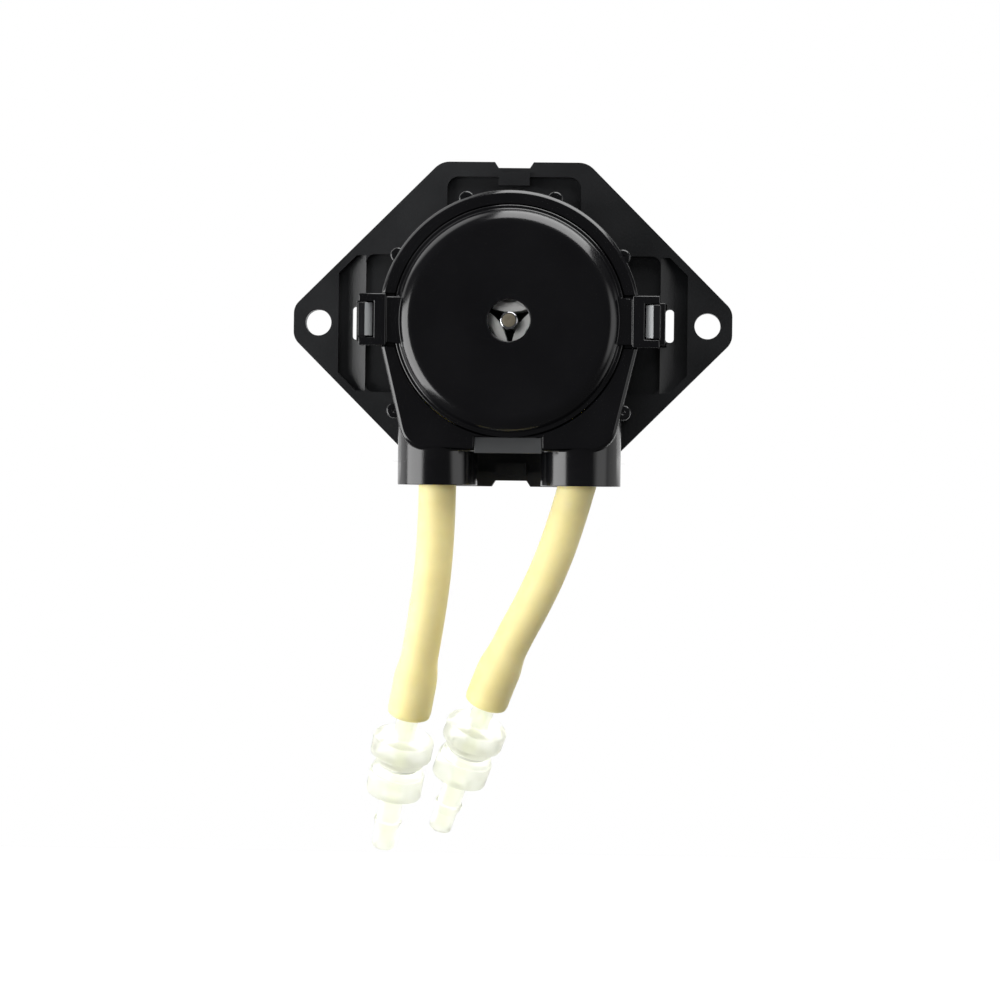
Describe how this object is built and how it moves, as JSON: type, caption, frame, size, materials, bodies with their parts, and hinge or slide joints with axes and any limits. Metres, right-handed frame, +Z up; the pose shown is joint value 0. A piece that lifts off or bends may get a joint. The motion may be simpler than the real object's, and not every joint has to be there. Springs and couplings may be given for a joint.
{
  "type": "peristaltic pump head",
  "caption": "Clip-on pump head: an eight-sided plate, a round head with a domed cover, rollers driven by a thin shaft inside, and two hose legs with couplings.",
  "frame": {"origin": "midway between the two panel holes, on the rear face of the base plate", "axes": "+X to the right through the panel holes, +Y backwards along the shaft, +Z up away from the hose legs"},
  "size_m": [0.0744, 0.0387, 0.1176],
  "materials": {
    "plate_plastic": "fine moulded texture, black",
    "housing_plastic": "polished moulding, black",
    "cover_plastic": "polished moulding, black",
    "pin_plastic": "polished moulding, black",
    "stop_plastic": "plain moulding, black",
    "rotor_plastic": "plain moulding, black",
    "roller_plastic": "turned acetal, white",
    "shaft_steel": "ground steel",
    "bronze": "sintered bronze",
    "tube": "matte pump hose, cream",
    "coupling_plastic": "clear polypropylene, milky",
    "gasket": "plain rubber, white"
  },
  "bodies": {
    "base": {"base_plate": "plate_plastic", "shaft_bush_front": "bronze", "shaft_bush_rear": "bronze"},
    "latch_left": {"latch_arm_left": "plate_plastic"},
    "latch_right": {"latch_arm_right": "plate_plastic"},
    "shaft": {"drive_shaft": "shaft_steel", "shaft_rings": "shaft_steel"},
    "head": {"housing": "housing_plastic", "back_cover": "housing_plastic", "case_pins": "pin_plastic", "pump_tube": "tube", "tube_stops": "stop_plastic", "inlet_tube": "tube", "outlet_tube": "tube", "inlet_coupling_upper": "coupling_plastic", "inlet_coupling_gasket": "gasket", "outlet_coupling_upper": "coupling_plastic", "outlet_coupling_gasket": "gasket"},
    "cover": {"front_cover": "cover_plastic"},
    "rotor": {"rotor_back_plate": "rotor_plastic", "rotor_front_plate": "rotor_plastic", "rotor_posts": "rotor_plastic", "rotor_screws": "shaft_steel", "roller_axles": "shaft_steel"},
    "roller_1": {"roller_1": "roller_plastic"},
    "roller_2": {"roller_2": "roller_plastic"},
    "roller_3": {"roller_3": "roller_plastic"},
    "inlet_half": {"inlet_coupling_lower": "coupling_plastic"},
    "outlet_half": {"outlet_coupling_lower": "coupling_plastic"}
  },
  "joints": [
    {"name": "head_release", "type": "slide", "parent": "base", "child": "head", "axis": [0, -1, 0], "range_m": [0, 0.024], "deforming": ["latch_arm_left", "latch_arm_right"]},
    {"name": "cover_lift", "type": "slide", "parent": "head", "child": "cover", "axis": [0, -1, 0], "range_m": [0, 0.012], "deforming": ["latch_arm_left", "latch_arm_right"]},
    {"name": "latch_left_flex", "type": "hinge", "parent": "base", "child": "latch_left", "pos_m": [-0.025, -0.0015, 0], "axis": [0, 0, -1], "range_deg": [0, 6], "stiffness_Nm_per_rad": 0.5},
    {"name": "latch_right_flex", "type": "hinge", "parent": "base", "child": "latch_right", "pos_m": [0.025, -0.0015, 0], "axis": [0, 0, 1], "range_deg": [0, 6], "stiffness_Nm_per_rad": 0.5},
    {"name": "rotor_spin", "type": "hinge", "parent": "head", "child": "rotor", "pos_m": [0, 0, 0], "axis": [0, 1, 0], "continuous": true},
    {"name": "shaft_spin", "type": "hinge", "parent": "base", "child": "shaft", "pos_m": [0, 0, 0], "axis": [0, 1, 0], "continuous": true},
    {"name": "roller_1_spin", "type": "hinge", "parent": "rotor", "child": "roller_1", "pos_m": [0, 0, 0.00905], "axis": [0, 1, 0], "continuous": true},
    {"name": "roller_2_spin", "type": "hinge", "parent": "rotor", "child": "roller_2", "pos_m": [-0.00784, 0, -0.00453], "axis": [0, 1, 0], "continuous": true},
    {"name": "roller_3_spin", "type": "hinge", "parent": "rotor", "child": "roller_3", "pos_m": [0.00784, 0, -0.00453], "axis": [0, 1, 0], "continuous": true},
    {"name": "inlet_half_twist", "type": "hinge", "parent": "head", "child": "inlet_half", "pos_m": [-0.0187, -0.00034, -0.07532], "axis": [-0.1878, 0.3626, -0.9129], "range_deg": [0, 90]},
    {"name": "outlet_half_twist", "type": "hinge", "parent": "head", "child": "outlet_half", "pos_m": [-0.00693, -0.00049, -0.07278], "axis": [-0.3202, 0.3773, -0.869], "range_deg": [0, 90]}
  ],
  "couplings": [
    {"joint": "shaft_spin", "follows": "rotor_spin", "ratio": 12},
    {"joint": "roller_1_spin", "follows": "rotor_spin", "ratio": -2.2},
    {"joint": "roller_2_spin", "follows": "rotor_spin", "ratio": -2.2},
    {"joint": "roller_3_spin", "follows": "rotor_spin", "ratio": -2.2}
  ]
}
